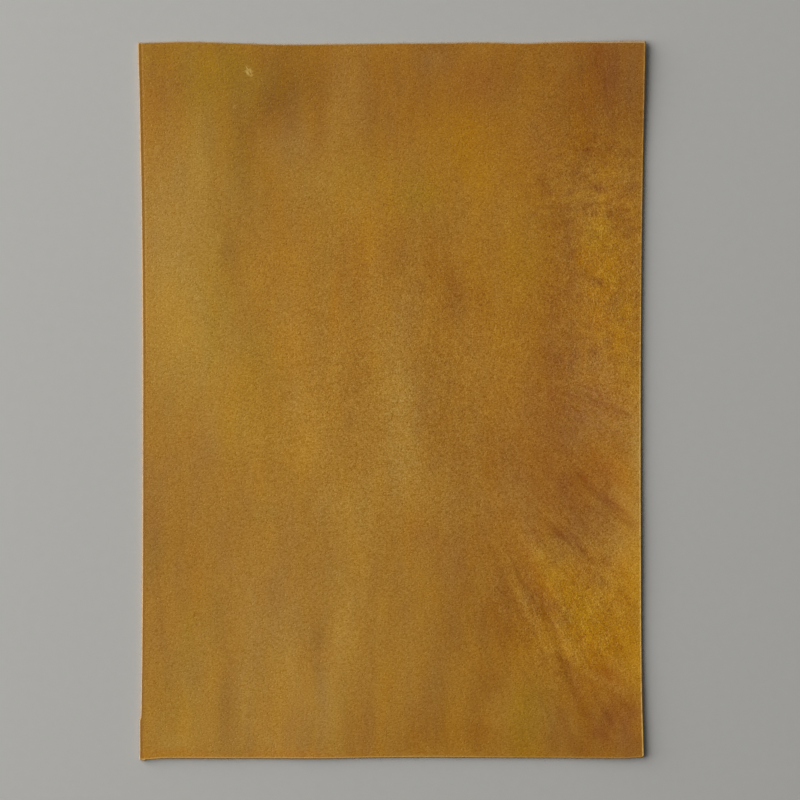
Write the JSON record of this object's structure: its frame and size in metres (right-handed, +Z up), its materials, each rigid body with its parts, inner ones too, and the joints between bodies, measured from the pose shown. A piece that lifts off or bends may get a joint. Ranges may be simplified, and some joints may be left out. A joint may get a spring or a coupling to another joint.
{
  "type": "cut sheet of cowhide leather",
  "caption": "Flat rectangular cut of vegetable tanned cowhide, golden brown grain side up, for cutting and sewing leather goods.",
  "frame": {"origin": "middle of the sheet, on the surface it lies on", "axes": "+Y along the sheet's length towards the wavering head cut, +X across it towards the belly side with the creases, +Z up out of the grain side"},
  "size_m": [0.2106, 0.2978, 0.0035],
  "materials": {
    "leather": "smooth full grain, waxed, golden brown with darker and brighter drifts; raw tan cut edges; bare flesh side"
  },
  "bodies": {
    "root": {"leather_sheet": "leather"}
  },
  "joints": []
}
